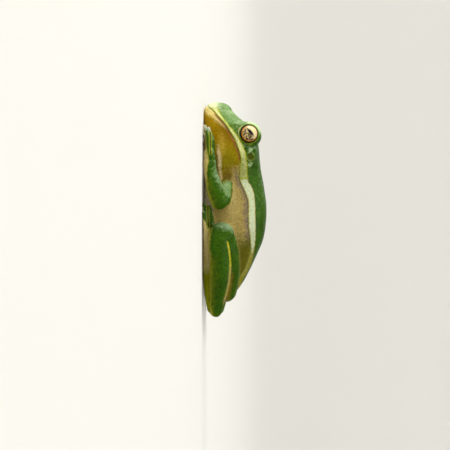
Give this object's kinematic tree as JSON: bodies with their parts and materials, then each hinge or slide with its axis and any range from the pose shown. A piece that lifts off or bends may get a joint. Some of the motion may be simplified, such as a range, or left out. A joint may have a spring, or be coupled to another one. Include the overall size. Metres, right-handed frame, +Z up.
{
  "type": "green tree frog model",
  "caption": "Life-size still model of a green tree frog at rest on its chin and belly, with folded limbs, round toe discs, side-facing eyes and a pale stripe along each flank.",
  "frame": {"origin": "middle of the footprint, on the surface that the frog rests on", "axes": "+X to the frog's left, -Y the way it faces, +Z up"},
  "size_m": [0.0284, 0.0542, 0.0159],
  "materials": {
    "green_skin": "moist, finely granular",
    "throat_skin": "moist, finely granular",
    "eye": "wet gloss"
  },
  "bodies": {
    "root": {"head": "green_skin", "lower_jaw": "throat_skin", "torso": "green_skin", "eye_left": "eye", "eye_right": "eye", "upper_arm_left": "green_skin", "upper_arm_right": "green_skin", "forearm_left": "green_skin", "forearm_right": "green_skin", "hand_left": "green_skin", "hand_right": "green_skin", "thigh_left": "green_skin", "thigh_right": "green_skin", "shank_left": "green_skin", "shank_right": "green_skin", "tarsus_left": "green_skin", "tarsus_right": "green_skin", "foot_left": "green_skin", "foot_right": "green_skin"}
  },
  "joints": []
}
